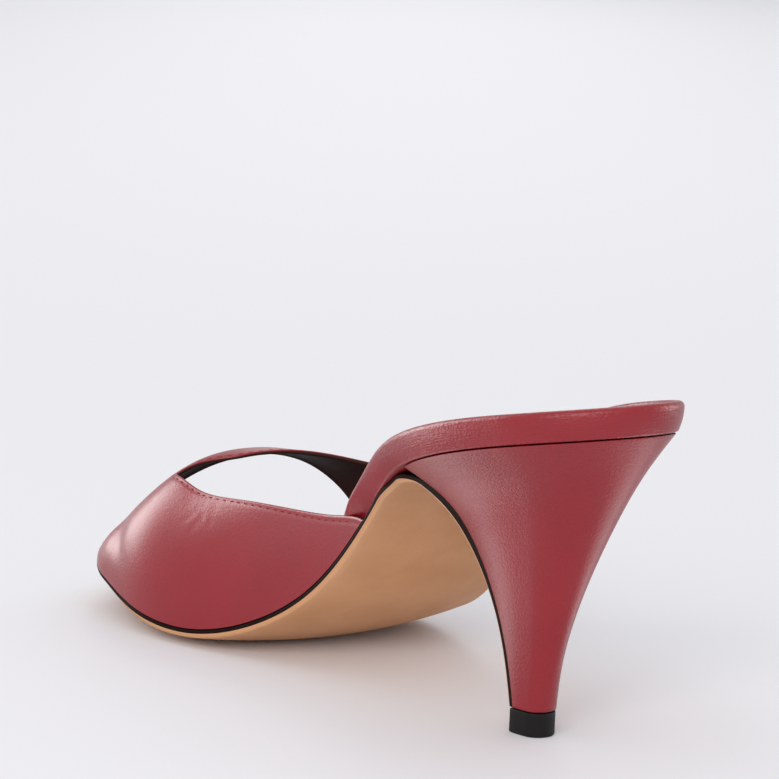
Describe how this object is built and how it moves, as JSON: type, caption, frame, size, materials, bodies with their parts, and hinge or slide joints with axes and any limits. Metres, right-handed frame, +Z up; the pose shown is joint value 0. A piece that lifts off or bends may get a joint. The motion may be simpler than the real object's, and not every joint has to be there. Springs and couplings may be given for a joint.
{
  "type": "heeled mule sandal",
  "caption": "Right-foot leather mule sandal with an open-toe vamp band, a padded wrapped footbed, a thin leather sole and a tall tapering heel.",
  "frame": {"origin": "on the floor, under the middle of the shoe's box", "axes": "+X from heel to toe, +Y to the wearer's left, which is the medial side, +Z up"},
  "size_m": [0.2086, 0.0786, 0.0876],
  "materials": {
    "red_calf": "smooth satin dyed calf leather",
    "sole_leather": "smooth vegetable-tanned sole leather",
    "lining_leather": "matt dark brown lining leather",
    "black_rubber": "moulded matt rubber"
  },
  "bodies": {
    "root": {"outsole": "sole_leather", "footbed": "red_calf", "insole": "lining_leather", "upper": "red_calf", "heel": "red_calf", "top_piece": "black_rubber"}
  },
  "joints": []
}
